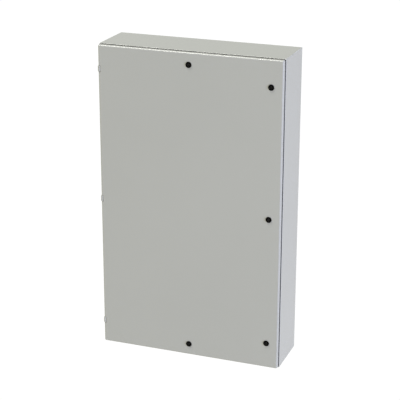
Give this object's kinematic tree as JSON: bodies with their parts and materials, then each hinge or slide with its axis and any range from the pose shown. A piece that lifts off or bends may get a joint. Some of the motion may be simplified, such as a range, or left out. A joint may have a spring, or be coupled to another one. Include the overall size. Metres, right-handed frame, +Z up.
{
  "type": "electrical enclosure",
  "caption": "Tall, shallow wall-mounted sheet-steel electrical enclosure with a left-hinged flanged door, black quarter-turn latches, a door gasket and an inner sub-panel.",
  "frame": {"origin": "centre of the back face, on the wall, at the middle of the four wall-mounting holes", "axes": "+X to the right as seen from the front, +Y into the wall (the door faces -Y), +Z up"},
  "size_m": [0.9149, 0.2827, 1.524],
  "materials": {
    "light_grey_powder_coat": "fine-texture semi-gloss powder coat over 14 gauge steel",
    "white_powder_coat": "smooth semi-gloss powder coat",
    "zinc_plated_steel": "bright zinc plate",
    "stainless_steel": "plain turned",
    "black_die_cast": "black powder-coated die casting",
    "foam_seal": "poured closed-cell foam, matte",
    "nitrile_rubber": "moulded, matte",
    "nylon": "natural",
    "grey_moulded_plastic": "fine-textured high-impact moulding"
  },
  "bodies": {
    "cabinet": {"body_left_side": "light_grey_powder_coat", "body_right_side": "light_grey_powder_coat", "body_top": "light_grey_powder_coat", "body_bottom": "light_grey_powder_coat", "body_back": "light_grey_powder_coat", "panel_collar_studs": "zinc_plated_steel", "sub_panel": "white_powder_coat", "panel_washers": "zinc_plated_steel", "panel_nuts": "zinc_plated_steel", "body_ground_stud": "zinc_plated_steel", "body_ground_washer": "zinc_plated_steel", "body_ground_nut": "zinc_plated_steel", "body_terminal_stud": "zinc_plated_steel", "hinge_body_leaves": "light_grey_powder_coat", "hinge_pins": "stainless_steel", "hinge_washers": "nylon", "hinge_rivets": "stainless_steel", "flange_edge_seal": "foam_seal"},
    "door": {"door_pan": "light_grey_powder_coat", "door_gasket": "foam_seal", "door_stiffener_left": "light_grey_powder_coat", "door_stiffener_right": "light_grey_powder_coat", "data_pocket": "grey_moulded_plastic", "pocket_studs": "zinc_plated_steel", "pocket_push_nuts": "zinc_plated_steel", "door_ground_stud": "zinc_plated_steel", "door_ground_washer": "zinc_plated_steel", "door_ground_nut": "zinc_plated_steel", "hinge_door_leaves": "light_grey_powder_coat", "hinge_door_studs": "zinc_plated_steel", "hinge_door_nuts": "zinc_plated_steel", "latch_housings": "black_die_cast", "latch_seals": "nitrile_rubber", "latch_nuts": "zinc_plated_steel"},
    "latch_top": {"latch_top_spindle": "black_die_cast", "latch_top_cam": "zinc_plated_steel", "latch_top_screw": "zinc_plated_steel"},
    "latch_upper": {"latch_upper_spindle": "black_die_cast", "latch_upper_cam": "zinc_plated_steel", "latch_upper_screw": "zinc_plated_steel"},
    "latch_middle": {"latch_middle_spindle": "black_die_cast", "latch_middle_cam": "zinc_plated_steel", "latch_middle_screw": "zinc_plated_steel"},
    "latch_lower": {"latch_lower_spindle": "black_die_cast", "latch_lower_cam": "zinc_plated_steel", "latch_lower_screw": "zinc_plated_steel"},
    "latch_bottom": {"latch_bottom_spindle": "black_die_cast", "latch_bottom_cam": "zinc_plated_steel", "latch_bottom_screw": "zinc_plated_steel"}
  },
  "joints": [
    {"name": "door_hinge", "type": "hinge", "parent": "cabinet", "child": "door", "pos_m": [-0.4507, -0.2735, 0], "axis": [0, 0, -1], "range_deg": [0, 170]},
    {"name": "latch_top_turn", "type": "hinge", "parent": "door", "child": "latch_top", "pos_m": [0, -0.2795, 0.702], "axis": [0, 1, 0], "range_deg": [0, 90]},
    {"name": "latch_upper_turn", "type": "hinge", "parent": "door", "child": "latch_upper", "pos_m": [0.3972, -0.2795, 0.632], "axis": [0, 1, 0], "range_deg": [0, 90]},
    {"name": "latch_middle_turn", "type": "hinge", "parent": "door", "child": "latch_middle", "pos_m": [0.3972, -0.2795, 0], "axis": [0, 1, 0], "range_deg": [0, 90]},
    {"name": "latch_lower_turn", "type": "hinge", "parent": "door", "child": "latch_lower", "pos_m": [0.3972, -0.2795, -0.632], "axis": [0, 1, 0], "range_deg": [0, 90]},
    {"name": "latch_bottom_turn", "type": "hinge", "parent": "door", "child": "latch_bottom", "pos_m": [0, -0.2795, -0.702], "axis": [0, 1, 0], "range_deg": [0, 90]}
  ]
}
